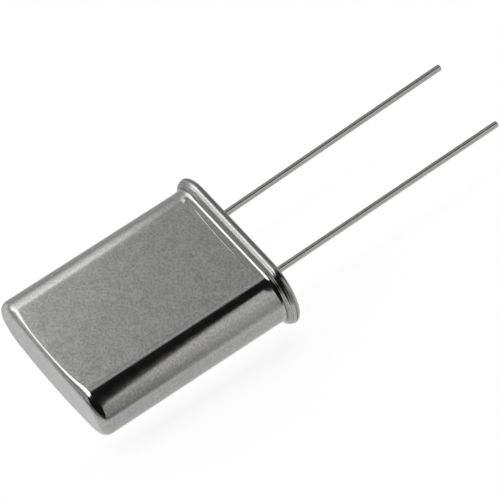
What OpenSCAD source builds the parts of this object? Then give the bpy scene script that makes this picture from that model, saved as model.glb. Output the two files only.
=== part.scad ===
// Two-lead quartz crystal in a flanged oblong metal can, lying on its broad side.
// Every piece is drawn standing: the seat is at z = 0, the can rises along +Z,
// the leads run down along -Z, x is across the can and y through its thickness.
// lying() then lays the finished part on its side as it comes to rest.

/* [Cover] */
// Width of the can's body, across the two leads
body_w = 10; // [9.4:0.1:10.3]
// Thickness of the can's body
body_t = 3.66; // [3.4:0.02:4]
// Height from the seat to the closed end
height = 12.7; // [12.2:0.1:13.4]
// Sheet thickness of the drawn cover
wall = 0.25; // [0.2:0.01:0.3]
// Outer radius of the edge round the closed end
end_r = 0.55; // [0.4:0.05:0.8]
// Outer radius of the hollow curve in which the wall flares out into the flange
flare_r = 0.36; // [0.3:0.02:0.44]
// Inner radius of the flared mouth
mouth_r = 0.45; // [0.35:0.01:0.48]

/* [Flange] */
// How far the flange stands out from the body
flange_out = 0.4; // [0.36:0.02:0.5]
// Thickness of the cover's flange, up to the top of its rim's round
cover_flange_t = 0.36; // [0.36:0.01:0.42]
// Thickness of the header's flange
header_flange_t = 0.3; // [0.28:0.01:0.36]
// Radius of the cover flange's upper rim
rim_r = 0.3; // [0.22:0.02:0.3]
// Radius of the header flange's lower rim
foot_r = 0.2; // [0.1:0.02:0.22]
// Radius of the two rims that meet at the weld seam
seam_r = 0.04; // [0.02:0.01:0.05]

/* [Header] */
// Height of the boss that stands inside the can
boss_h = 0.95; // [0.8:0.05:1.2]
// Gap between the boss and the can's inner wall
boss_gap = 0.1; // [0.06:0.02:0.2]
// Radius of the boss's upper edge
boss_r = 0.2; // [0.1:0.05:0.3]
// Diameter of each glass seal
seal_d = 1.5; // [1.2:0.1:1.7]
// Depth of the dished face of the glass round each lead
meniscus = 0.09; // [0.04:0.01:0.12]

/* [Leads] */
// Distance between the two leads
pitch = 4.88; // [4.6:0.02:5]
// Diameter of a lead
lead_d = 0.38; // [0.34:0.01:0.46]
// Length of a lead below the seat
lead_l = 15.7; // [12:0.1:20]
// Angle at which the left lead leans towards the left, in degrees
left_lean_angle = 1.8; // [0:0.1:2.5]
// Angle at which the right lead leans towards the left, in degrees
right_lean_angle = 0.9; // [0:0.1:2.5]
// Distance below the seat at which the leads start to lean
lean_drop = 0.2; // [0.1:0.05:0.5]
// Size of the bevel round a lead's cut tip
tip_bevel = 0.05; // [0.02:0.01:0.08]
// Length of lead between the boss and its flat head
head_rise = 0.45; // [0.3:0.05:0.6]
// Diameter of the flat head
head_d = 0.84; // [0.7:0.02:1]
// Thickness of the flat head
head_t = 0.15; // [0.12:0.01:0.2]

/* [Crystal] */
// Diameter of the quartz blank
blank_d = 7.8; // [7:0.1:8.2]
// Thickness of the quartz blank
blank_t = 0.2; // [0.14:0.01:0.24]
// Height of the blank's centre above the seat
blank_z = 6.9; // [6.6:0.1:7.4]
// Diameter of each silver electrode
electrode_d = 4.4; // [3.6:0.1:5]
// Thickness of each electrode
electrode_t = 0.02; // [0.015:0.005:0.03]
// Width of the electrode's tab, which runs to the blank's edge
tab_w = 1; // [0.7:0.1:1.2]

/* [Spring clips] */
// Thickness of the strip
clip_t = 0.12; // [0.1:0.01:0.14]
// Width of the strip
clip_w = 1.1; // [0.9:0.1:1.3]
// Inner radius of the strip's bend
clip_r = 0.15; // [0.1:0.01:0.25]
// Depth of blank that the strip's slot takes in at each side
grip = 0.2; // [0.16:0.01:0.24]
// Height of the strip above the blank's centre
clip_over = 1.2; // [0.8:0.1:1.5]
// Clearance between the slot and each face of the blank
slot_gap = 0.05; // [0.03:0.01:0.06]
// Diameter of each bead of conductive adhesive
bond_d = 1; // [0.8:0.1:1.2]

/* [Hidden] */
$fn = 40;
edge_fn = 24;                                 // facets of a small edge radius
overlap = 0.1;                                // how far shapes reach into what they join or cut

left = -1;
right = 1;
below = -1;
above = 1;
body_r = body_t / 2;                          // radius of the body's round sides
straight = body_w - body_t;                   // length of the oblong's straight sides
flange_r = body_r + flange_out;
flange_top = header_flange_t + cover_flange_t;
rim_centre = [flange_r - rim_r, flange_top - rim_r];
flare_angle = acos(1 - flange_out / (flare_r + rim_r));   // where the flare's two arcs meet
flare_centre = [body_r + flare_r, rim_centre[1] + (flare_r + rim_r) * sin(flare_angle)];
boss_top = header_flange_t + boss_h;
boss_side = body_r - wall - boss_gap;
lead_r = lead_d / 2;
head_z = boss_top + head_rise;                // underside of the lead's flat head
clip_z = head_z + head_t;                     // underside of the clip's foot
clip_x = blank_d / 2 - grip;                  // inner face of the clip's upright
chord = sqrt(pow(blank_d / 2, 2) - pow(clip_x, 2));
slot_z = blank_z - chord - slot_gap;          // foot of the slot, clear of the blank's rim
clip_top = blank_z + clip_over;
bond_x = clip_x + clip_t / 2;
seal_web = (seal_d / 2 - lead_r) / 2;         // half the width of glass between lead and hole
dish_r = (pow(seal_web, 2) + pow(meniscus, 2)) / (2 * meniscus);

// The part rests on the cover flange's rim and on the closed end's edge. Their two
// edge circles, seen along x, give the line of the floor and so the angle of rest.
rest_run = (height - end_r) - rim_centre[1];
rest_drop = rim_centre[0] - (body_r - end_r);
rest_tilt = atan2(rest_drop, rest_run) - asin((end_r - rim_r) / norm([rest_run, rest_drop]));
rest_lift = (height - end_r) * sin(rest_tilt) + (body_r - end_r) * cos(rest_tilt) + end_r;
back_y = -(height - end_r) * cos(rest_tilt) - (body_r - end_r) * sin(rest_tilt) - end_r;
tips_y = lead_l * cos(rest_tilt);

// Lays a standing piece on its broad side: the leads point along +Y, and the middle
// of the part's outline lies over the origin, on the floor.
module lying()
    translate([0, -(back_y + tips_y) / 2, rest_lift])
        rotate([90 + rest_tilt, 0, 0])
            children();

// Sweeps a half profile round an oblong: a half turn at each side and two straight
// runs between them. The profile's x is the distance from the oblong's spine.
module oblong() {
    for (side = [left, right])
        translate([side * straight / 2, 0, 0])
            rotate([0, 0, -side * 90])
                rotate_extrude(angle = 180)
                    children();
    for (turn = [0, 180])
        rotate([0, 0, turn])
            translate([-straight / 2, 0, 0])
                rotate([90, 0, 90])
                    linear_extrude(straight)
                        children();
}

// A rectangle from the spine out to x, between two heights, with its two outer
// corners rounded.
module slab(x, low, high, low_r, high_r) {
    polygon([[0, low], [x - low_r, low], [x, low + low_r],
             [x, high - high_r], [x - high_r, high], [0, high]]);
    corner(x, low, low_r, above);
    corner(x, high, high_r, below);
}

// The quarter disc that rounds a slab's outer corner at x and z. The slab lies above or
// below that corner.
module corner(x, z, r, slab_side)
    translate([x - r, z + slab_side * r])
        scale([1, -slab_side])
            intersection() {
                circle(r, $fn = edge_fn);
                square(r);
            }

// The outside of the flare: a hollow arc that leaves the wall and runs into the rim's
// round without a corner. The two arcs meet on the line between their centres.
module flare()
    difference() {
        polygon([[0, rim_centre[1]], rim_centre, flare_centre, [0, flare_centre[1]]]);
        translate(flare_centre)
            circle(flare_r);
    }

// The inside of the flare: the space in a mouth that widens from a wall at x down to
// the flat at z, and reaches a little past it.
module mouth(x, z)
    difference() {
        translate([0, z - overlap])
            square([x + mouth_r, mouth_r + overlap]);
        translate([x + mouth_r, z + mouth_r])
            circle(mouth_r);
    }

// The deep-drawn can: one sheet, closed at the top, flared into a flange at its mouth.
module cover()
    color("silver")
        difference() {
            oblong() {
                slab(body_r, header_flange_t, height, seam_r, end_r);
                slab(flange_r, header_flange_t, flange_top, seam_r, rim_r);
                flare();
            }
            oblong() {
                slab(body_r - wall, header_flange_t - overlap, height - wall, seam_r, end_r - wall);
                mouth(body_r - wall, header_flange_t);
            }
        }

// The stamped base: a flange welded under the cover's and a boss that fills its mouth,
// pierced for the two glass seals.
module header()
    color("gainsboro")
        difference() {
            oblong() {
                slab(flange_r, 0, header_flange_t, foot_r, seam_r);
                slab(boss_side, header_flange_t - overlap, boss_top, seam_r, boss_r);
            }
            for (side = [left, right])
                translate([side * pitch / 2, 0, -overlap])
                    cylinder(d = seal_d, h = boss_top + 2 * overlap);
        }

// A glass bead fused between its hole and its lead, with a dished face at both ends.
module glass_seal(side)
    color("darkslategray")
        translate([side * pitch / 2, 0, 0])
            rotate_extrude()
                difference() {
                    translate([lead_r, 0])
                        square([seal_d / 2 - lead_r, boss_top]);
                    for (z = [meniscus - dish_r, boss_top - meniscus + dish_r])
                        translate([(lead_r + seal_d / 2) / 2, z])
                            circle(dish_r);
                }

// A round wire through the glass, with a flat head inside the can. Below the seat it
// leans a little, as handling leaves it, and ends in a bevelled cut. The upright run
// and the leaning run meet in a mitre.
module lead(side, lean)
    color("lightgray")
        translate([side * pitch / 2, 0, 0]) {
            translate([0, 0, head_z])
                cylinder(d = head_d, h = head_t);
            translate([0, 0, -lean_drop]) {
                intersection() {
                    translate([0, 0, -overlap])
                        cylinder(d = lead_d, h = head_z + lean_drop + overlap);
                    half_space(above, lean / 2);
                }
                intersection() {
                    rotate([0, lean, 0])
                        translate([0, 0, overlap])
                            pin((lead_l - lean_drop) / cos(lean) + overlap);
                    half_space(below, lean / 2);
                }
            }
        }

// A block as big as half of space, above or below a plane through the origin that is
// tilted about y.
module half_space(part, tilt)
    rotate([0, tilt, 0])
        translate([0, 0, part * lead_l])
            cube([lead_l, lead_l, 2 * lead_l], center = true);

// A length of lead that hangs down from the origin, with a bevelled tip.
module pin(length)
    translate([0, 0, -length]) {
        translate([0, 0, tip_bevel])
            cylinder(d = lead_d, h = length - tip_bevel);
        cylinder(r1 = lead_r - tip_bevel, r2 = lead_r, h = tip_bevel);
    }

// A bent strip: its foot is welded on the lead's head, and its slotted upright takes
// the rim of the blank.
module spring_clip(side)
    color("khaki")
        scale([side, 1, 1])
            difference() {
                rotate([90, 0, 0])
                    linear_extrude(clip_w, center = true)
                        clip_profile();
                translate([clip_x - overlap, -blank_t / 2 - slot_gap, slot_z])
                    cube([clip_t + 2 * overlap, blank_t + 2 * slot_gap, clip_top]);
            }

// The strip seen on edge: foot, bend and upright.
module clip_profile() {
    bend_x = clip_x - clip_r;
    bend_z = clip_z + clip_t + clip_r;
    translate([pitch / 2 - head_d / 2, clip_z])
        square([bend_x - pitch / 2 + head_d / 2, clip_t]);
    translate([clip_x, bend_z])
        square([clip_t, clip_top - bend_z]);
    intersection() {
        translate([bend_x, bend_z])
            difference() {
                circle(clip_r + clip_t);
                circle(clip_r);
            }
        translate([bend_x, clip_z])
            square(clip_r + clip_t);
    }
}

// A round disc whose axis runs through the can's thickness, centred on the blank.
module disc(d, t)
    translate([0, 0, blank_z])
        rotate([90, 0, 0])
            cylinder(d = d, h = t, center = true);

// The quartz plate.
module quartz_blank()
    color("lightcyan")
        disc(blank_d, blank_t);

// A silver film on one face of the blank (face 1 or -1), with a tab to the rim at one side.
module electrode(face, side)
    color("whitesmoke")
        translate([0, face * (blank_t + electrode_t) / 2, 0])
            intersection() {
                union() {
                    disc(electrode_d, electrode_t);
                    translate([side * blank_d / 4, 0, blank_z])
                        cube([blank_d / 2, electrode_t, tab_w], center = true);
                }
                disc(blank_d, electrode_t);
            }

// A bead of conductive adhesive round the joint of blank, electrode tab and clip.
module bond(side)
    color("darkgray")
        difference() {
            translate([side * bond_x, 0, blank_z])
                sphere(d = bond_d, $fn = edge_fn);
            quartz_blank();
            spring_clip(side);
            electrode(side, side);
        }

lying() cover();
lying() header();
lying() glass_seal(left);  // left_glass_seal
lying() glass_seal(right);  // right_glass_seal
lying() lead(left, left_lean_angle);  // left_lead
lying() lead(right, right_lean_angle);  // right_lead
lying() spring_clip(left);  // left_spring_clip
lying() spring_clip(right);  // right_spring_clip
lying() quartz_blank();
lying() electrode(right, right);  // upper_electrode
lying() electrode(left, left);  // lower_electrode
lying() bond(left);  // left_bond
lying() bond(right);  // right_bond
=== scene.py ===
# %% [markdown]
# # A quartz crystal in an oblong metal can
#
# This lesson dresses a small through-hole crystal: a drawn nickel can with a flange,
# a stamped header welded to it, two tinned wires and the glass that seals them.
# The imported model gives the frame. Each cell makes one piece, one finish or one lamp,
# and prints what it made, so a mistake shows in the cell that made it.

# %% Load the frame
from math import asin, atan2, cos, degrees, hypot, pi, radians, sin

import bmesh
import bpy
from mathutils import Matrix, Vector

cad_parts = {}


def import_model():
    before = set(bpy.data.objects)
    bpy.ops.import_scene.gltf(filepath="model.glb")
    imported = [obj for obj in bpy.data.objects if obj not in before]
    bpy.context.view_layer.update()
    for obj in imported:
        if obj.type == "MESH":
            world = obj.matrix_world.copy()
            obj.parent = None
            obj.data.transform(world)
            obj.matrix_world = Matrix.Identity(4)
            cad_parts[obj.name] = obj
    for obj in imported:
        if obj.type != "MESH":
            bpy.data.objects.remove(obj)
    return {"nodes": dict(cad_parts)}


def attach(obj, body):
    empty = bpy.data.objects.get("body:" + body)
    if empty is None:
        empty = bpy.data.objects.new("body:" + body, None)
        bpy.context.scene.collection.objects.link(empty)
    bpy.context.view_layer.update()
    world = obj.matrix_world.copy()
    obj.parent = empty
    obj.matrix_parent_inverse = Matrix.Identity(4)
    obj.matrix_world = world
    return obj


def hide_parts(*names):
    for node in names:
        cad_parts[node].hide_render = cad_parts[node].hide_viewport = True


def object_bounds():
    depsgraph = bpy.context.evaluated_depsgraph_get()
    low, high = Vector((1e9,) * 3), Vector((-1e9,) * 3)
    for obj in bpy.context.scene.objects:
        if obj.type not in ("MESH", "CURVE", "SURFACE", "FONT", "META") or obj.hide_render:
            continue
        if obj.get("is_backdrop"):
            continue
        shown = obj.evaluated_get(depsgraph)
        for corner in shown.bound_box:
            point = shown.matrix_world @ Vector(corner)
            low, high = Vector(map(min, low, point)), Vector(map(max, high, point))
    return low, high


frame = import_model()
cad_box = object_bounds()
print("nodes in the frame:", ", ".join(sorted(frame["nodes"])))

# %% [markdown]
# ## Sizes
#
# A can like this is made to a standard, so its sizes are few and they drive all the
# rest. They are written once, in millimetres, as a maker would read them off a
# drawing. Blender works in metres, so one factor turns them over at the very end.

# %% Sizes of the can, in millimetres
MM = 0.001
body_w = 10.0
body_t = 3.66
height = 12.7
wall = 0.25
flange_out = 0.4
header_flange_t = 0.3

body_r = body_t / 2
half_straight = (body_w - body_t) / 2
flange_r = body_r + flange_out
print(f"body {body_w} x {body_t} mm, {height} mm tall, flange {2 * flange_r:.2f} mm thick")

# %% Sizes of the leads and their seals, in millimetres
pitch = 4.88
lead_d = 0.38
lead_l = 15.7
lean_drop = 0.2                          # the wires lean from here on, past the seat
leans = {"left": 1.8, "right": 0.9}      # degrees
seal_d = 1.5
meniscus = 0.09
print(f"leads {lead_d} mm thick, {pitch} mm apart, {lead_l} mm long")

# %% [markdown]
# ## How the part lies
#
# The can lies on its broad side. Its flange is thicker than its body, so it doesn't
# lie flat: it rests on the flange's rim and on the round edge of the closed end, and
# it tips by about two degrees. Every piece is drawn in the can's own directions,
# x across it, u along it towards the leads and t up through its thickness, with the
# seat at u = 0. One matrix then lays all of them down. That keeps the drawing simple
# and makes it impossible for two pieces to be laid down differently.

# %% Lay the can down on its rim and its closed end
end_r = 0.55
rest_rim_r = 0.3                         # the rim it rests on: its radius
rest_rim_u = 0.36                        # and how far past the seat its middle lies
run = (height - end_r) - rest_rim_u
drop = (flange_r - rest_rim_r) - (body_r - end_r)
tilt = atan2(drop, run) - asin((end_r - rest_rim_r) / hypot(run, drop))
lift = (height - end_r) * sin(tilt) + (body_r - end_r) * cos(tilt) + end_r
back = -(height - end_r) * cos(tilt) - (body_r - end_r) * sin(tilt) - end_r
tips = lead_l * cos(tilt)
middle = -(back + tips) / 2

lay = (Matrix.Scale(MM, 4) @ Matrix.Translation((0, middle, lift))
       @ Matrix.Rotation(tilt, 4, "X"))
print(f"tips by {degrees(tilt):.2f} degrees, seat's middle {lift:.3f} mm above the floor")

# %% [markdown]
# ## The camera
#
# The can is seen from above its closed end, a little to the right, through a long
# lens, so its long edges stay almost parallel. `toward` points from the can to the
# camera, and `roll` tips the picture. The camera is placed in the can's directions
# too: the broad face then keeps its place in the picture whatever the tilt at rest is.

# %% Place the camera
azimuth, elevation, roll = radians(60.89), radians(53.93), radians(-8.71)
picture_px = 500
px_per_mm = 18.56
seat_px = Vector((242.4, 248.0))         # where the middle of the seat falls
nearness = 0.0042                        # one over the distance in millimetres
film_w = 36

toward = Vector((sin(azimuth) * cos(elevation), -cos(azimuth) * cos(elevation), sin(elevation)))
level = Vector((cos(azimuth), sin(azimuth), 0))
upright = toward.cross(level)
right = cos(roll) * level + sin(roll) * upright
up = -sin(roll) * level + cos(roll) * upright
centre_px = picture_px / 2
aim = (right * (centre_px - seat_px.x) + up * (seat_px.y - centre_px)) / px_per_mm

lens = bpy.data.cameras.new("camera")
lens.sensor_width = film_w
lens.lens = px_per_mm / nearness / picture_px * film_w
lens.clip_start, lens.clip_end = 0.01, 20
camera = bpy.data.objects.new("camera", lens)
bpy.context.scene.collection.objects.link(camera)
turn = lay.to_3x3().normalized() @ Matrix((right, up, toward)).transposed()
camera.matrix_world = Matrix.Translation(lay @ (aim + toward / nearness)) @ turn.to_4x4()
bpy.context.scene.camera = camera
print(f"lens {lens.lens:.0f} mm, {1 / nearness:.0f} mm from the can")

# %% [markdown]
# ## Sweeping a section round an oblong
#
# The can and its header were pressed between a punch and a die that are oblong: two
# straight sides joined by half circles. Any cut through the spine of such a shape
# shows the same section. So each of them is made as on a lathe, but the section
# travels round an oblong and not round a circle. A modifier could do this with a
# curve, yet a loop of our own lets the section change on its way, which the closed
# end needs further down.

# %% Stations round the oblong, and the sweep
arc_steps = 72
straight_steps = 64


def stations():
    """Every place round the oblong: the x of its foot on the spine, and its direction."""
    for side in (1, -1):
        for i in range(straight_steps):
            yield side * half_straight * (2 * i / straight_steps - 1), side * pi / 2
        for i in range(arc_steps):
            yield side * half_straight, side * pi / 2 - pi * i / arc_steps


def join_rows(skin, rows):
    """Faces between each row of vertices and the next."""
    for here, there in zip(rows, rows[1:]):
        for k in range(len(here) - 1):
            skin.faces.new((here[k], here[k + 1], there[k + 1], there[k]))


def sweep(section):
    """A skin through section(foot) at every station: its points are (distance, u)."""
    skin = bmesh.new()
    rows = []
    for foot, angle in stations():
        rows.append([skin.verts.new((foot + d * cos(angle), u, d * sin(angle)))
                     for d, u in section(foot)])
    join_rows(skin, rows + rows[:1])
    return skin


print("stations round the oblong:", len(list(stations())))

# %% [markdown]
# ## Drawing a section
#
# A section is a list of points. Two small tools draw all of them: an arc, which can
# be stretched into an ellipse, and the points of a straight run. Long runs get points
# in between, so that no face is a long thin sliver and bent walls bend smoothly.

# %% Arcs and straight runs
def arc(centre, r, start, stop, steps, stretch=1.0):
    """Points on an arc, stretched along u. 0 degrees points away from the spine."""
    angles = [radians(start + (stop - start) * i / steps) for i in range(steps + 1)]
    return [(centre[0] + r * cos(a), centre[1] + r * stretch * sin(a)) for a in angles]


def between(start, stop, steps):
    """Points strictly between two others, evenly spaced."""
    return [tuple(s + (e - s) * i / steps for s, e in zip(start, stop)) for i in range(1, steps)]


print("a quarter turn in 8 steps has", len(arc((0, 0), 1, 0, 90, steps=8)), "points")

# %% [markdown]
# ## Showing a piece
#
# A skin becomes a piece in one place only: close points are merged, the faces are
# turned to look outwards, the whole is laid down, it rides on the root body, takes
# its finish, and the plain solid it stands for is hidden. The volume
# tells whether the faces really look outwards: it is negative where they look in.

# %% Turn a skin into a piece
sharp_angle = radians(35)
merge_dist = 1e-5


def show(name, skin, node, finish):
    """Lays a skin down as a smooth piece that stands for a solid of the frame."""
    bmesh.ops.remove_doubles(skin, verts=skin.verts, dist=merge_dist)
    bmesh.ops.recalc_face_normals(skin, faces=skin.faces)
    if skin.calc_volume(signed=True) < 0:
        bmesh.ops.reverse_faces(skin, faces=skin.faces)
    skin.transform(lay)
    mesh = bpy.data.meshes.new(name)
    skin.to_mesh(mesh)
    skin.free()
    mesh.shade_smooth()
    mesh.set_sharp_from_angle(angle=sharp_angle)
    mesh.materials.append(finish)
    piece = bpy.data.objects.new(name, mesh)
    bpy.context.scene.collection.objects.link(piece)
    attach(piece, "root")
    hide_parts(node)
    print(f"{name}: {len(mesh.polygons)} faces")


print(f"edges sharper than {degrees(sharp_angle):.0f} degrees stay sharp")

# %% [markdown]
# ## Building a finish from nodes
#
# A finish is a small graph of nodes. These helpers start a material, add a node and
# feed it, and give the place on the surface in millimetres, so that a scale of 9
# means nine grains to the millimetre.

# %% Start a finish, add a node, find the place
def new_finish(name, color, roughness, metallic=1.0):
    """A material with plain values on its shader, as the start of a finish."""
    finish = bpy.data.materials.new(name)
    finish.use_nodes = True
    shader = finish.node_tree.nodes["Principled BSDF"]
    shader.inputs["Base Color"].default_value = (*color, 1)
    shader.inputs["Roughness"].default_value = roughness
    shader.inputs["Metallic"].default_value = metallic
    return finish, shader


def add(tree, kind, feeds, **settings):
    """Adds a node. Each feed is a value or another node's output."""
    node = tree.nodes.new(kind)
    for name, value in settings.items():
        setattr(node, name, value)
    for socket, value in feeds.items():
        if isinstance(value, bpy.types.NodeSocket):
            tree.links.new(value, node.inputs[socket])
        else:
            node.inputs[socket].default_value = value
    return node


def place_mm(tree, stretch=(1, 1, 1)):
    """The place on the surface in millimetres, stretched for marks that run one way."""
    coord = add(tree, "ShaderNodeTexCoord", {})
    scale = tuple(s / MM for s in stretch)
    mapped = add(tree, "ShaderNodeMapping", {"Vector": coord.outputs["Object"], "Scale": scale})
    return mapped.outputs["Vector"]


def noise(tree, place, scale, detail=2.0, rough=0.5):
    """Noise from 0 to 1 at so many grains to the millimetre."""
    return add(tree, "ShaderNodeTexNoise", {"Vector": place, "Scale": scale, "Detail": detail,
                                            "Roughness": rough}).outputs["Fac"]


print("first helpers for a finish: new_finish, add, place_mm, noise")

# %% [markdown]
# Noise is only a number. To become a tone or a roughness it is mapped from one span
# to another, multiplied and blended. Noise seldom leaves the span from 0.3 to 0.7, so
# `swing` stretches that span over the values that a finish should swing between.

# %% Spans, products and blends
noise_low, noise_high = 0.3, 0.7


def remap(tree, value, low, high, to_low, to_high, kind="LINEAR"):
    """Maps a value from one span to another, held at the ends."""
    node = add(tree, "ShaderNodeMapRange", {"Value": value, "From Min": low, "From Max": high,
                                            "To Min": to_low, "To Max": to_high},
               interpolation_type=kind)
    return node.outputs["Result"]


def swing(tree, value, to_low, to_high):
    """Noise, stretched so that it swings between two values."""
    return remap(tree, value, noise_low, noise_high, to_low, to_high)


def past(tree, value, low, high):
    """0 below low, 1 above high, and smooth between them."""
    return remap(tree, value, low, high, 0, 1, "SMOOTHSTEP")


def before(tree, value, low, high):
    """1 below low, 0 above high, and smooth between them."""
    return remap(tree, value, low, high, 1, 0, "SMOOTHSTEP")


def calc(tree, operation, a, b=0.0):
    """One sum, product or the like."""
    return add(tree, "ShaderNodeMath", {0: a, 1: b}, operation=operation).outputs["Value"]


def times(tree, first, *others):
    """The product of two values or more."""
    for other in others:
        first = calc(tree, "MULTIPLY", first, other)
    return first


def rest_of(tree, part):
    """What is left of 1."""
    return calc(tree, "SUBTRACT", 1.0, part)


def blend_numbers(tree, factor, a, b):
    """a where the factor is 0 and b where it is 1."""
    return add(tree, "ShaderNodeMix", {"Factor": factor, 2: a, 3: b}, data_type="FLOAT").outputs[0]


print("noise swings over", noise_low, "to", noise_high)

# %% [markdown]
# The last helpers finish a graph: one darkens or lightens a colour, one blends two
# colours, and one turns a height into relief. The can also needs to know how far a
# place lies along it, because its flange is marked in rings that follow the press.

# %% Colours, relief and the place along the can
def shade(tree, color, amount):
    """A colour times an amount that varies over the surface."""
    return add(tree, "ShaderNodeVectorMath", {0: color, "Scale": amount},
               operation="SCALE").outputs["Vector"]


def blend_colors(tree, factor, a, b):
    """Colour a where the factor is 0 and b where it is 1."""
    feeds = {"Factor": factor, 6: (*a, 1), 7: (*b, 1)}
    return add(tree, "ShaderNodeMix", feeds, data_type="RGBA").outputs[2]


def relief(tree, shader, height_map, depth):
    """Lets a height stand out from the surface by a depth in metres."""
    bump = add(tree, "ShaderNodeBump", {"Height": height_map, "Strength": 1.0, "Distance": depth})
    tree.links.new(bump.outputs["Normal"], shader.inputs["Normal"])


def along_can(tree, place):
    """How far a place lies along the can from the seat, in millimetres."""
    axis = (0, cos(tilt), sin(tilt))
    far = add(tree, "ShaderNodeVectorMath", {0: place, 1: axis}, operation="DOT_PRODUCT")
    return calc(tree, "SUBTRACT", far.outputs["Value"], middle * cos(tilt) + lift * sin(tilt))


print("last helpers for a finish: shade, blend_colors, relief, along_can")

# %% [markdown]
# ## Drawn nickel
#
# The cover starts as plated strip. Its two broad faces keep the strip's fine matt
# mill grain, because the die hardly touches them. The round sides, the end and the
# flange are burnished as they slide past the die, so they are bright, with soft
# streaks along the draw. One material can hold both: the surface's own direction
# tells a broad face from a drawn one, and everything that differs is mixed by it.
#
# The flange differs once more, in rings: its lip, where the wall turns out, gets a
# painted highlight, the hollow after it a painted shade, and the crown of the rim carries
# the fine turning marks of the die. Those places are written down first.

# %% The flange's painted light and rings: places in millimetres along the can, then tones
lip_highlight_start = (-0.93, -0.88)
hollow_shade_start = (-0.79, -0.72)
slope_shade_start = (-0.71, -0.67)
crown_start = (-0.65, -0.55)
# painted highlight at the lip, painted shade in the hollow and on the slope
lip_highlight_tone, hollow_shade_tone, slope_shade_tone = 1.22, 0.42, 0.84
ring_scale, ring_shift, ring_depth = 16.0, 0.03, 0.03
ring_span, ring_tones = (0.37, 0.63), (0.78, 1.3)


def flange_painted_light(tree, reach):
    """Painted highlight at the lip, deep painted shade in the hollow, light painted shade on the
    slope.
    """
    tone = remap(tree, reach, *lip_highlight_start, 1.0, lip_highlight_tone)
    tone = blend_numbers(tree, past(tree, reach, *hollow_shade_start), tone, hollow_shade_tone)
    return blend_numbers(tree, past(tree, reach, *slope_shade_start), tone, slope_shade_tone)


def crown_rings(tree, reach):
    """Noise that changes only along the can, so it runs in rings round the rim."""
    shifted = calc(tree, "ADD", reach, ring_shift)
    lengthwise = add(tree, "ShaderNodeCombineXYZ", {"Y": shifted}).outputs[0]
    return noise(tree, lengthwise, ring_scale, detail=1.0)


print(f"the flange's marks start {-lip_highlight_start[0]} mm above the seat")

# %% The cover's finish
nickel = (0.44, 0.4385, 0.434)
flatness = (0.9945, 0.9988)              # how level a surface is where the matt grain begins
grain_scale, cloud_scale, streak_scale = 7.5, 1.5, 5.0
streak_stretch = (1, 0.12, 1)
milled_tones, drawn_tones = (0.93, 1.07), (0.965, 1.035)
milled_rough, drawn_rough = (0.25, 0.33), (0.1, 0.14)
speckle_power, speckle_span, speckle_tones = 2.2, (0.1, 0.4), (0.875, 1.19)


def speckle(tree, grain):
    """Sparse light grains on a slightly darker ground."""
    sparse = calc(tree, "POWER", grain, speckle_power)
    return remap(tree, sparse, *speckle_span, *speckle_tones)


def cover_finish():
    """Matt on the broad faces, burnished elsewhere, ringed and with painted highlight and shade on
    the flange.
    """
    finish, shader = new_finish("cover_nickel", nickel, drawn_rough[0])
    tree = finish.node_tree
    place = place_mm(tree)
    grain = noise(tree, place, grain_scale, detail=3.0, rough=0.7)
    cloud = noise(tree, place, cloud_scale)
    streak = noise(tree, place_mm(tree, streak_stretch), streak_scale)
    reach = along_can(tree, place)
    rings = crown_rings(tree, reach)

    on_crown = remap(tree, reach, *crown_start, 0, 1)
    normal = add(tree, "ShaderNodeNewGeometry", {}).outputs["Normal"]
    facing_up = add(tree, "ShaderNodeSeparateXYZ", {0: normal}).outputs["Z"]
    broad = past(tree, calc(tree, "ABSOLUTE", facing_up), *flatness)
    broad = times(tree, broad, rest_of(tree, on_crown))

    milled = swing(tree, cloud, *milled_tones)
    # soft streaks of the draw, times the flange's painted highlight and shade
    drawn_streaks_and_painted_light = times(tree, swing(tree, streak, *drawn_tones), flange_painted_light(tree, reach))
    crown = remap(tree, rings, *ring_span, *ring_tones)
    burnished_and_painted_light = blend_numbers(tree, on_crown, drawn_streaks_and_painted_light, crown)
    tone = times(tree, speckle(tree, grain), blend_numbers(tree, broad, burnished_and_painted_light, milled))
    tree.links.new(shade(tree, nickel, tone), shader.inputs["Base Color"])

    rough = blend_numbers(tree, broad, swing(tree, cloud, *drawn_rough),
                          swing(tree, grain, *milled_rough))
    tree.links.new(rough, shader.inputs["Roughness"])
    relief(tree, shader, rings, blend_numbers(tree, on_crown, 0.0, ring_depth * MM))
    return finish


cover_nickel = cover_finish()
print("finish:", cover_nickel.name)

# %% [markdown]
# ## The cover
#
# Follow the section from the closed end to the weld: a nearly flat end, a round edge,
# the straight wall, a hollow curve that leaves the wall, a short slope, the rim with
# its flat crown, and a tiny round at the weld seam, which shows as a dark line.
# Inside, the same sheet comes back at its own thickness. The slope matters: a rim
# that simply stood out at a right angle would show none of the bright and dark lines
# that a pressed flange has. The rim is part of an ellipse, stretched along the can,
# and that makes its crown flat.

# %% The flared rim's section
hollow_r = 0.3
rim_r = 0.24
rim_stretch = 1.96
steepest = 62                            # degrees
seam_r = 0.012
seam_u = -header_flange_t
crest_u = -0.145

rim_turn = degrees(atan2(rim_stretch * sin(radians(steepest)), cos(radians(steepest))))
rise = hollow_r * (1 - cos(radians(steepest))) + rim_r * (1 - cos(radians(rim_turn)))
slope_l = (flange_out - rise) / sin(radians(steepest))
flare_l = (hollow_r * sin(radians(steepest)) + slope_l * cos(radians(steepest))
           + rim_r * rim_stretch * sin(radians(rim_turn)))
flare_u = crest_u - flare_l
hollow = arc((body_r + hollow_r, flare_u), hollow_r, 180, 180 - steepest, steps=16)
rim = arc((flange_r - rim_r, crest_u), rim_r, -rim_turn, 0, steps=24, stretch=rim_stretch)
rim = [(d, u) for d, u in rim if u < seam_u - seam_r]
seam = arc((rim[-1][0] - seam_r, seam_u - seam_r), seam_r, 0, 90, steps=4)
flare = hollow + between(hollow[-1], rim[0], steps=3) + rim + seam
print(f"the flare starts {-flare_u:.2f} mm above the seat, slope {slope_l:.3f} mm long")

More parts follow.
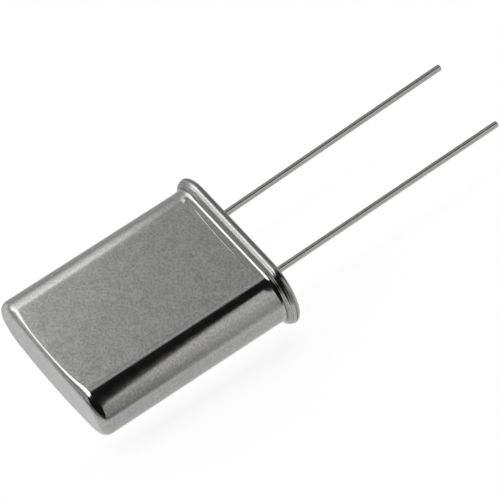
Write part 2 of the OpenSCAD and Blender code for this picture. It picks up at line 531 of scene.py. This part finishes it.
# %% [markdown]
# The edge of the closed end isn't the same all round. Along the broad faces the punch
# leaves it tight, a quarter of an ellipse, and at the two narrow sides it is rounder.
# The end face stands a little proud in its middle, and it leans, so its upper edge
# lies further out. Freed from the die, the walls have sprung in by a few hundredths
# of a millimetre, a touch more towards the flare. All of this changes smoothly, so
# the section asks where its foot is on the spine.

# %% How the end and the walls change, in millimetres
end_u = -height
tight_edge = Vector((0.42, 0.3))         # deep, long
round_edge = Vector((end_r, end_r))
end_bow = 0.05
end_lean = 0.065                         # radians
end_reach = 3.7                          # how far from the end its shape still tells
spring, spring_growth = 0.015, 0.0012    # at the end, and more for each millimetre from it
spring_stop_u, spring_fade = -0.55, 0.8


def eased(s):
    """Smoothly from 0 to 1 while s goes from 0 to 1."""
    s = max(0.0, min(1.0, s))
    return s * s * (3 - 2 * s)


def end_share(u):
    """1 at the closed end, 0 beyond its reach."""
    return eased(1 - (u - end_u) / end_reach)


def sprung_in(u):
    """How far the wall stands in: a little more towards the flare, nothing on its rim."""
    return (spring + spring_growth * (u - end_u)) * eased((spring_stop_u - u) / spring_fade)


print(f"the wall stands in by {sprung_in(end_u):.3f} mm, near the flare {sprung_in(-2):.3f} mm")

# %% The whole section of the cover
inner_r = body_r - wall
inner_edge_r = 0.3
mouth_r = 0.45
near_flare_u = -1.4                      # finer steps from here to the flare, for its marks
edge_steps = 24


def cover_section(foot):
    """The sheet's outside from the middle of the end to the seam, then its inside."""
    across = min(1.0, abs(foot) / half_straight)      # 0 mid-face, 1 at the narrow sides
    deep, long = tight_edge.lerp(round_edge, across ** 3)
    edge_d, edge_u = body_r - deep, end_u + long
    turned = [(edge_d + deep * sin(a), edge_u - long * cos(a))
              for a in [pi / 2 * i / edge_steps for i in range(edge_steps + 1)]]
    outside = [(0, end_u)] + between((0, end_u), turned[0], steps=12) + turned
    outside += between(turned[-1], (body_r, near_flare_u), steps=30)
    outside += between((body_r, near_flare_u), (body_r, flare_u), steps=20)
    outside += flare
    inner_edge = arc((inner_r - inner_edge_r, end_u + wall + inner_edge_r), inner_edge_r,
                     0, -90, steps=8)
    mouth = arc((inner_r + mouth_r, seam_u - mouth_r), mouth_r, 90, 180, steps=10)
    inside = mouth + between(mouth[-1], inner_edge[0], steps=14) + inner_edge
    inside += between(inner_edge[-1], (0, end_u + wall), steps=6) + [(0, end_u + wall)]
    return [(d - sprung_in(u) * d / body_r, u + end_bow * across ** 2 * end_share(u))
            for d, u in outside + inside]


print("points in the cover's section:", len(cover_section(0)))

# %% [markdown]
# ## The marks of the press
#
# Just above the flare the die has left two marks on the broad faces: a faint ridge
# that curves along the flange, and one small nub near its end. They stand out by
# less than a hair's thickness, but bright metal shows each as a thin light line. They
# are true shape and not a bump in the finish, so they also catch the light from the
# side. Every vertex near them is simply moved out by a smooth height. The end's lean
# is made in the same loop, since it too differs between the upper and lower face.

# %% The ridge, the nub and the cover
ridge_w = 0.06
ridge_rise = 0.012
ridge_u, ridge_bow, ridge_slant = -1.07, 0.12, 0.01
ridge_left, ridge_left_fade = -3.0, 0.8
ridge_right, ridge_right_fade = 2.6, 1.6
nub_x, nub_u, nub_w = -3.41, -1.14, 0.22
nub_rise = 0.024
face_depth = 0.1                         # how far below the broad face still counts as face


def press_marks(x, u):
    """How far the ridge and the nub stand out of the broad face."""
    line = ridge_u - ridge_bow * (1 - (x / half_straight) ** 2) - ridge_slant * x
    ridge = ridge_rise * eased(1 - abs(u - line) / ridge_w)
    ridge *= eased((x - ridge_left) / ridge_left_fade)
    ridge *= eased((ridge_right - x) / ridge_right_fade)
    return ridge + nub_rise * eased(1 - hypot(x - nub_x, u - nub_u) / nub_w)


cover_skin = sweep(cover_section)
for vert in cover_skin.verts:
    x, u, t = vert.co
    if abs(t) > body_r - face_depth and u < flare_u:
        vert.co.z += press_marks(x, u) * (1 if t > 0 else -1)
    vert.co.y -= end_lean * t * end_share(u)
show("cover_shell", cover_skin, "cover", cover_nickel)

# %% [markdown]
# ## The header
#
# Under the cover sits a stamped base. Its flange is resistance-welded to the cover's,
# and what remains of the joint is a hair line on the rim, with a painted shade beside
# it on the header. Its boss stands inside the can, and two holes through it take the
# glass. The outside is swept as the cover's is. The two flats with holes in them can't
# be swept, so they are filled between their edge and the rims of the holes.

# %% The header's finish
weld_painted_shade, weld_shade_tone = (-0.25, -0.16), 0.66      # painted shade by the seam: places along the can, then a tone
base_grain_scale, base_cloud_scale = 10.0, 1.1
base_grain_tones, base_cloud_tones = (0.95, 1.05), (0.97, 1.03)
base_rough = (0.11, 0.2)
base_grain_depth = 0.0008


def header_finish():
    """Fine-grained nickel, with a painted shade along the weld."""
    finish, shader = new_finish("header_nickel", nickel, base_rough[0])
    tree = finish.node_tree
    place = place_mm(tree)
    grain = noise(tree, place, base_grain_scale, detail=3.0, rough=0.6)
    cloud = noise(tree, place, base_cloud_scale)
    weld_shade = remap(tree, along_can(tree, place), *weld_painted_shade, weld_shade_tone, 1.0)
    tone = times(tree, swing(tree, grain, *base_grain_tones),
                 swing(tree, cloud, *base_cloud_tones), weld_shade)
    tree.links.new(shade(tree, nickel, tone), shader.inputs["Base Color"])
    tree.links.new(swing(tree, cloud, *base_rough), shader.inputs["Roughness"])
    relief(tree, shader, grain, base_grain_depth * MM)
    return finish


header_nickel = header_finish()
print("finish:", header_nickel.name)

# %% The header's skin
foot_r = 0.285
weld_r = 0.025
boss_h = 0.95
boss_gap = 0.1
boss_r = 0.2
boss_top = header_flange_t + boss_h
boss_side = inner_r - boss_gap
hole_steps = 48
same_u = 1e-6


def header_section(foot):
    """Round the rim from the underside, then up the boss; the same at every foot."""
    section = arc((flange_r - foot_r, -foot_r), foot_r, 90, 0, steps=14)
    section += arc((flange_r - weld_r, seam_u + weld_r), weld_r, 0, -90, steps=8)
    section.append((boss_side, seam_u))
    return section + arc((boss_side - boss_r, -boss_top + boss_r),
                         boss_r, 0, -90, steps=8)


def header_skin():
    """The swept outside, the walls of the two holes and the two flats between them."""
    skin = sweep(header_section)
    rims = {0.0: [], -boss_top: []}
    for side in (-1, 1):
        rings = []
        for u in rims:
            angles = [2 * pi * i / hole_steps for i in range(hole_steps)]
            ring = [skin.verts.new((side * pitch / 2 + seal_d / 2 * cos(a), u,
                                    seal_d / 2 * sin(a))) for a in angles]
            rims[u] += [skin.edges.new(pair) for pair in zip(ring, ring[1:] + ring[:1])]
            rings.append(ring + ring[:1])
        join_rows(skin, rings)
    for u, edges in rims.items():
        border = [e for e in skin.edges if e.is_boundary and e not in edges
                  and all(abs(v.co.y - u) < same_u for v in e.verts)]
        bmesh.ops.triangle_fill(skin, edges=border + edges, use_beauty=True)
    return skin


show("header_base", header_skin(), "header", header_nickel)

# %% [markdown]
# ## Turned pieces
#
# A bead of glass and a wire are turned shapes, so a second sweep takes a section
# round a straight axis that runs along u.

# %% Turn a section round an axis
turn_steps = 40


def revolve(section, centre_x):
    """A skin whose section's points are (radius, u), round an axis at centre_x."""
    skin = bmesh.new()
    rows = []
    for i in range(turn_steps):
        a = 2 * pi * i / turn_steps
        rows.append([skin.verts.new((centre_x + r * cos(a), u, r * sin(a)))
                     for r, u in section])
    join_rows(skin, rows + rows[:1])
    return skin


print("turned pieces have", turn_steps, "steps round")

# %% [markdown]
# ## The glass seals
#
# Each lead passes through a bead of dark sealing glass. The glass is melted in
# place, so it wets both the lead and the rim of its hole, climbs a little at each and
# sinks between them. It is deep blue-green, almost black, and its face is as smooth as
# a drop. Tiny bubbles and swirls inside it make the colour cloudy.

# %% The glass
glass_dark, glass_light = (0.006, 0.018, 0.022), (0.03, 0.062, 0.066)
glass_plain = (0.012, 0.03, 0.034)
swirl_scale, swirl_depth = 3.0, 0.004
pit_scale, pit_span, pit_rough = 14.0, (0.35, 0.75), (0.03, 0.16)


def glass_finish():
    """Almost black glass: swirls in its colour, pits in its gloss, a wet coat."""
    finish, shader = new_finish("seal_glass", glass_plain, pit_rough[0], metallic=0.0)
    tree = finish.node_tree
    place = place_mm(tree)
    swirl = noise(tree, place, swirl_scale, detail=4.0, rough=0.6)
    tree.links.new(blend_colors(tree, swirl, glass_dark, glass_light),
                   shader.inputs["Base Color"])
    pits = noise(tree, place, pit_scale, detail=1.0)
    tree.links.new(remap(tree, pits, *pit_span, *pit_rough), shader.inputs["Roughness"])
    relief(tree, shader, swirl, swirl_depth * MM)
    shader.inputs["Coat Weight"].default_value = 0.6
    shader.inputs["Coat Roughness"].default_value = 0.03
    return finish


seal_glass = glass_finish()
print("finish:", seal_glass.name)

# %% A bead at each lead
lead_r = lead_d / 2
web = (seal_d / 2 - lead_r) / 2
dish_r = (web ** 2 + meniscus ** 2) / (2 * meniscus)
half_dish = degrees(asin(web / dish_r))
web_r = lead_r + web


def seal_section():
    """The dished face at the seat, the outside, the dished face inside, the bore."""
    low = arc((web_r, dish_r - meniscus), dish_r, 270 - half_dish, 270 + half_dish, steps=14)
    high = arc((web_r, -boss_top + meniscus - dish_r), dish_r, 90 - half_dish,
               90 + half_dish, steps=14)
    return low + high + low[:1]


for side, name in ((-1, "left"), (1, "right")):
    show(name + "_seal_bead", revolve(seal_section(), side * pitch / 2),
         name + "_glass_seal", seal_glass)

# %% [markdown]
# ## The leads
#
# A lead is tinned wire, cut from a coil. Drawing leaves fine marks along it, and the
# tin is a little cloudy. Its skin is a stack of rings: the flat head inside the can,
# the straight shank through the glass, a slight lean that handling has left, and a
# tip whose edge the cutter and the tin have rounded.

# %% The wire's finish
tin = (0.53, 0.528, 0.522)
wire_stretch = (1, 0.05, 1)
wire_mark_scale, wire_mark_tones, wire_mark_depth = 14.0, (0.92, 1.06), 0.001
wire_cloud_scale, wire_cloud_tones, wire_rough = 4.0, (0.9, 1.06), (0.12, 0.26)


def wire_finish():
    """Cloudy tin with the marks of the drawing plate along it."""
    finish, shader = new_finish("lead_tin", tin, wire_rough[0])
    tree = finish.node_tree
    marks = noise(tree, place_mm(tree, wire_stretch), wire_mark_scale)
    cloud = noise(tree, place_mm(tree), wire_cloud_scale, detail=3.0)
    tone = times(tree, swing(tree, marks, *wire_mark_tones),
                 swing(tree, cloud, *wire_cloud_tones))
    tree.links.new(shade(tree, tin, tone), shader.inputs["Base Color"])
    tree.links.new(swing(tree, cloud, *wire_rough), shader.inputs["Roughness"])
    relief(tree, shader, marks, wire_mark_depth * MM)
    return finish


lead_tin = wire_finish()
print("finish:", lead_tin.name)

# %% The rings of a wire
head_rise = 0.45
head_d = 0.84
head_t = 0.15
tip_r = 0.11
shank_steps = 8
tip_steps = 6


def wire_rings(lean):
    """Each ring's centre (x, u), its radius and its slant, from the head to the tip."""
    bend = radians(lean)
    length = (lead_l - lean_drop) / cos(bend)
    head_u = -(boss_top + head_rise)
    rings = [((0, head_u - head_t), r, 0) for r in (0, head_d / 2)]
    rings += [((0, head_u), r, 0) for r in (head_d / 2, lead_r)]
    rings += [((0, -boss_top), lead_r, 0), ((0, 0), lead_r, 0),
              ((0, lean_drop), lead_r, bend / 2)]
    leaning = [(length * i / shank_steps, lead_r) for i in range(1, shank_steps)]
    leaning += [(length - tip_r + tip_r * sin(a), lead_r - tip_r + tip_r * cos(a))
                for a in [pi / 2 * i / tip_steps for i in range(tip_steps + 1)]]
    leaning.append((length, 0))
    return rings + [((-sin(bend) * far, lean_drop + cos(bend) * far), r, bend)
                    for far, r in leaning]


print("rings in a wire:", len(wire_rings(0)))

# %% The two wires
wire_steps = 32


def wire_skin(side, lean):
    """A skin over the rings, which narrow to a point at both ends."""
    skin = bmesh.new()
    rows = []
    for (x, u), r, slant in wire_rings(lean):
        angles = [2 * pi * i / wire_steps for i in range(wire_steps)]
        row = [skin.verts.new((side * pitch / 2 + x + r * cos(a) * cos(slant),
                               u + r * cos(a) * sin(slant), r * sin(a))) for a in angles]
        rows.append(row + row[:1])
    join_rows(skin, rows)
    return skin


for side, name in ((-1, "left"), (1, "right")):
    show(name + "_wire", wire_skin(side, leans[name]), name + "_lead", lead_tin)

# %% [markdown]
# ## The pieces inside
#
# The quartz plate, its silver electrodes, the spring clips and the beads of adhesive
# are out of sight in the sealed can. Their solids have the right shape already, so
# they stay as they are and only get a finish of their own.

# %% Finishes for the pieces inside
smoother, rougher = 0.8, 1.3             # shares of a finish's roughness
inner_depth = 0.001


def inner_finish(name, light, dark, rough, scale, metallic, stretch=(1, 1, 1)):
    """Two tones of one colour in a noise, with its roughness and bump."""
    finish, shader = new_finish(name, light, rough, metallic)
    tree = finish.node_tree
    cloud = noise(tree, place_mm(tree, stretch), scale, detail=3.0)
    tree.links.new(blend_colors(tree, cloud, dark, light), shader.inputs["Base Color"])
    tree.links.new(swing(tree, cloud, rough * smoother, rough * rougher),
                   shader.inputs["Roughness"])
    relief(tree, shader, cloud, inner_depth * MM)
    return finish, shader


clip_nickel, _ = inner_finish("clip_nickel", (0.62, 0.58, 0.5), (0.54, 0.5, 0.42),
                              rough=0.22, scale=6, metallic=1.0, stretch=(1, 0.2, 1))
silver_film, _ = inner_finish("silver_film", (0.86, 0.86, 0.84), (0.76, 0.76, 0.74),
                              rough=0.12, scale=3, metallic=1.0)
silver_epoxy, _ = inner_finish("silver_epoxy", (0.5, 0.5, 0.49), (0.36, 0.36, 0.36),
                               rough=0.55, scale=9, metallic=0.3)
quartz, quartz_shader = inner_finish("quartz", (0.9, 0.95, 0.97), (0.82, 0.89, 0.92),
                                     rough=0.1, scale=5, metallic=0.0)
quartz_shader.inputs["Transmission Weight"].default_value = 0.9
quartz_shader.inputs["IOR"].default_value = 1.54
print("finishes:", clip_nickel.name, silver_film.name, silver_epoxy.name, quartz.name)

# %% Give the solids inside their finishes
inner_finishes = {"left_spring_clip": clip_nickel, "right_spring_clip": clip_nickel,
                  "upper_electrode": silver_film, "lower_electrode": silver_film,
                  "left_bond": silver_epoxy, "right_bond": silver_epoxy,
                  "quartz_blank": quartz}
for node, finish in inner_finishes.items():
    for material_slot in frame["nodes"][node].material_slots:
        material_slot.material = finish
print("inner pieces finished:", len(inner_finishes))

# %% [markdown]
# ## The floor
#
# A polished part shows its surroundings more than itself, so the studio is built as
# carefully as the can. The floor is white card. A white floor that is lit hard would
# bleach the metal, so part of its whiteness is its own: the light path tells when a
# ray comes from the camera or from a reflection, and only then does the card glow.
# The metal sees it as a greyer card with a shade to it: darker at the left of the
# can, lightest just before the closed end, and darker again further out.

# %% A glow that the camera and the metal see differently
def glow_for_views(tree, to_camera, in_metal):
    """A strength for camera rays, and another for reflections and refractions."""
    path = add(tree, "ShaderNodeLightPath", {})
    mirrored = calc(tree, "MAXIMUM", path.outputs["Is Glossy Ray"],
                    path.outputs["Is Transmission Ray"])
    seen = times(tree, path.outputs["Is Camera Ray"], to_camera)
    return calc(tree, "MAXIMUM", seen, times(tree, mirrored, in_metal))


def parts_of(tree, place):
    """The x, y and z of a place, each as an output."""
    return add(tree, "ShaderNodeSeparateXYZ", {0: place}).outputs


print("helpers for the studio: glow_for_views, parts_of")

# %% A white card under the part
floor_r, floor_corners = 0.6, 96
card_white = 0.9
floor_to_camera = 0.85
# how the metal sees it: from and to, in millimetres across, and how bright there
beside_can = (-4, 4, 0.34, 0.62)
before_end = (-6, 3, 0.9, 0.72)
far_before_end = (-14, -3, 0.62, 0.06)
end_zone, far_zone = (-18, -13), (-24, -17)        # millimetres along


def floor_in_metal(tree, spot):
    """Three zones along the can, each graded from left to right."""
    tone = remap(tree, spot["X"], *beside_can)
    front = remap(tree, spot["X"], *before_end)
    tone = blend_numbers(tree, remap(tree, spot["Y"], *end_zone, 1, 0), tone, front)
    far = remap(tree, spot["X"], *far_before_end)
    return blend_numbers(tree, before(tree, spot["Y"], *far_zone), tone, far)


bpy.ops.mesh.primitive_circle_add(vertices=floor_corners, radius=floor_r, fill_type="NGON")
floor = bpy.context.object
floor.name = "floor"
card, card_shader = new_finish("floor_card", (card_white,) * 3, 0.9, metallic=0.0)
card_shader.inputs["Specular IOR Level"].default_value = 0
card_shader.inputs["Emission Color"].default_value = (1, 1, 1, 1)
card_tree = card.node_tree
card_glow = floor_in_metal(card_tree, parts_of(card_tree, place_mm(card_tree)))
card_tree.links.new(glow_for_views(card_tree, floor_to_camera, card_glow),
                    card_shader.inputs["Emission Strength"])
floor.data.materials.append(card)
floor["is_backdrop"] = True
print(f"floor: a card {2 * floor_r} m across")

# %% [markdown]
# ## Cards and a window
#
# The bright and dark bands on the can are reflections of what stands round it. A
# window at the left gives the white edge lines, and a strip overhead carries its
# light on to the edge of the dark room. A grey card at the right gives the narrow
# side its tone, and the gap before the card gives the black band. A mat on the floor
# beside the can shades the lower half of that side. All of them stand close, so the
# bands taper along the can as they do on a real bench, and only reflections see them.

# %% A card that glows and that only reflections see
def stand_card(name, corners, color, strength_at):
    """A flat card with its corners in millimetres; strength_at gives its glow."""
    finish = bpy.data.materials.new(name)
    finish.use_nodes = True
    tree = finish.node_tree
    tree.nodes.clear()
    glow = add(tree, "ShaderNodeEmission", {
        "Color": (*color, 1), "Strength": strength_at(tree, parts_of(tree, place_mm(tree)))})
    out = add(tree, "ShaderNodeOutputMaterial", {})
    tree.links.new(glow.outputs[0], out.inputs["Surface"])
    mesh = bpy.data.meshes.new(name)
    mesh.from_pydata([tuple(MM * c for c in corner) for corner in corners], [],
                     [tuple(range(len(corners)))])
    mesh.materials.append(finish)
    stand = bpy.data.objects.new(name, mesh)
    bpy.context.scene.collection.objects.link(stand)
    stand.visible_camera = False
    stand.visible_shadow = False
    stand.visible_diffuse = False
    stand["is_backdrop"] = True
    print("card:", name)


print("cards are seen by reflections only")

# %% The grey card at the right
card_x = 60
card_foot_y, card_slant, card_top = -15.4, 0.361, 150
card_far_y = 150
card_color = (1, 0.995, 0.955)
card_up = (0, 55, 0.48, 0.78)            # from and to, in millimetres, and how bright there
card_along = (4, 13, 0.76, 1.0)
card_shade_slant = 0.15


def right_glow(tree, spot):
    """Brighter towards the top and away from the closed end."""
    slanted = calc(tree, "ADD", spot["Y"], times(tree, spot["Z"], card_shade_slant))
    return times(tree, remap(tree, spot["Z"], *card_up),
                 remap(tree, slanted, *card_along, "SMOOTHSTEP"))


stand_card(
    "right_card",
    [(card_x, card_foot_y, 0), (card_x, card_foot_y + card_slant * card_top, card_top),
     (card_x, card_far_y, card_top), (card_x, card_far_y, 0)], card_color, right_glow)

# %% The mat on the floor at the right
mat_start_x, mat_end_x, mat_z = 11, 150, 0.02
mat_front_y, mat_step_y, mat_back_y = -80, -16, 90
near_mat = (-10, 2, 0.25, 0.68)          # from and to along the can, and how bright there
far_mat = (-8, 8, 0.2, 0.5)
near_to_far = (17, 37)                   # millimetres across
gap_across, gap_along = (14, 22), (-20, -15)
mat_edge = (11, 17)
edge_glow, gap_glow = 0.78, 0.03         # as bright as the floor, and in the dark gap


def mat_glow(tree, spot):
    """Fades from the floor's tone beside the can to dark, darker before the closed end."""
    tone = blend_numbers(tree, remap(tree, spot["X"], *near_to_far, 0, 1),
                         remap(tree, spot["Y"], *near_mat), remap(tree, spot["Y"], *far_mat))
    in_gap = times(tree, remap(tree, spot["X"], *gap_across, 0, 1),
                   remap(tree, spot["Y"], *gap_along, 1, 0))
    tone = blend_numbers(tree, in_gap, tone, gap_glow)
    return blend_numbers(tree, remap(tree, spot["X"], *mat_edge, 0, 1), edge_glow, tone)


stand_card(
    "right_mat",
    [(mat_start_x, mat_front_y, mat_z), (mat_end_x, mat_front_y, mat_z),
     (mat_end_x, mat_step_y, mat_z), (card_x, mat_step_y, mat_z),
     (card_x, mat_back_y, mat_z), (mat_start_x, mat_back_y, mat_z)], (1, 1, 1), mat_glow)

# %% The window at the left
window_x = -60
window_foot, window_head = 2, 110
window_start, window_end = -110, 18
pane_glow = (-30, 0, 2.3, 1.42)          # from and to along the can, and how bright there
wall_glow = (70, 100, 0.5, 0.4)          # the wall round the pane: from and to upwards
leads_edge, foot_edge, head_edge = (7, 17), (window_foot, 46), (68, 108)
sill_zone, sill_top = (-58, -46), (76, 92, 0.85, 0)
low_wall_top = (10, 50, 0.74, 1.0)


def window_glow(tree, spot):
    """A soft-edged pane in a grey wall, with a sill at its far end."""
    at_sill = remap(tree, spot["Y"], *sill_zone, 1, 0)
    sill = times(tree, at_sill, remap(tree, spot["Z"], *sill_top))
    head = before(tree, calc(tree, "ADD", spot["Z"], spot["Y"]), *head_edge)
    in_pane = times(tree, before(tree, spot["Y"], *leads_edge),
                    past(tree, spot["Z"], *foot_edge), head, rest_of(tree, sill))

    low_wall = blend_numbers(tree, at_sill, 1.0, remap(tree, spot["Z"], *low_wall_top))
    wall_tone = times(tree, remap(tree, spot["Z"], *wall_glow), low_wall)
    return blend_numbers(tree, in_pane, wall_tone, remap(tree, spot["Y"], *pane_glow))


stand_card(
    "window",
    [(window_x, window_start, window_foot), (window_x, window_end, window_foot),
     (window_x, window_end, window_head), (window_x, window_start, window_head)],
    (1, 1, 1), window_glow)

# %% The strip overhead
strip_right_x, strip_corner_y = 4, -42
strip_back_x, strip_back_y = -21, -4
strip_along = (-24, -13, 2.3, 0.28)


def strip_glow(tree, spot):
    """The window's light carried on overhead, to the edge of the dark room."""
    return remap(tree, spot["Y"], *strip_along, "SMOOTHSTEP")


stand_card(
    "strip",
    [(window_x, window_start, window_head), (strip_right_x, window_start, window_head),
     (strip_right_x, strip_corner_y, window_head), (strip_back_x, strip_back_y, window_head),
     (window_x, strip_back_y, window_head)], (1, 1, 1), strip_glow)

# %% [markdown]
# ## The room
#
# Everything else is the world, and a material's reflections ask it for light by
# direction only. The ceiling is light grey, the foot of the walls is lighter, and the
# wall behind the leads is dim. At the right, behind the camera, the room is dark: it
# makes the black band. A batten of light runs along the edge of the dark room and
# keeps the broad face bright up to the band. For the camera itself the world is white.

# %% The world
ceiling, wall_foot, back_wall, dark_room = 0.355, 0.45, 0.24, 0.012
batten_light = 0.2
to_leads, to_dark_room = (0, 1, 0), (1, 0, 0.19)
foot_top = 0.5                           # edges: how far a ray heads that way, from -1 to 1
back_wall_edge, batten_edge, dark_room_edge = (0.55, 0.75), (-0.3, -0.14), (-0.02, 0.02)

world = bpy.data.worlds.new("studio")
bpy.context.scene.world = world
world.use_nodes = True
sky = world.node_tree
heading = add(sky, "ShaderNodeTexCoord", {}).outputs["Generated"]


def towards(direction):
    """How far a ray heads in a direction, from -1 to 1."""
    feeds = {0: heading, 1: tuple(Vector(direction).normalized())}
    return add(sky, "ShaderNodeVectorMath", feeds, operation="DOT_PRODUCT").outputs["Value"]


room = remap(sky, towards((0, 0, 1)), 0.0, foot_top, wall_foot, ceiling)
room = blend_numbers(sky, past(sky, towards(to_leads), *back_wall_edge), room, back_wall)
batten = times(sky, past(sky, towards(to_dark_room), *batten_edge), batten_light)
room = calc(sky, "ADD", room, batten)
room = blend_numbers(sky, past(sky, towards(to_dark_room), *dark_room_edge), room, dark_room)
in_view = add(sky, "ShaderNodeLightPath", {}).outputs["Is Camera Ray"]
sky.links.new(blend_numbers(sky, in_view, room, 1.0), sky.nodes["Background"].inputs["Strength"])
sky.nodes["Background"].inputs["Color"].default_value = (1, 1, 1, 1)
print("ceiling", ceiling, "dark room", dark_room)

# %% [markdown]
# ## Measure and finish
#
# The dressed part must fill the same box as its solids. For each corner the script
# prints how far the dressed box lies from the solids' box.

# %% Set the view transform and print how far the dressed box lies from the solids' box
bpy.context.scene.view_settings.view_transform = "Standard"
dressed_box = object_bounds()
for corner, solid, dressed in zip(("low", "high"), cad_box, dressed_box):
    print(corner, [f"{1000 * (b - a):+.3f} mm" for a, b in zip(solid, dressed)])
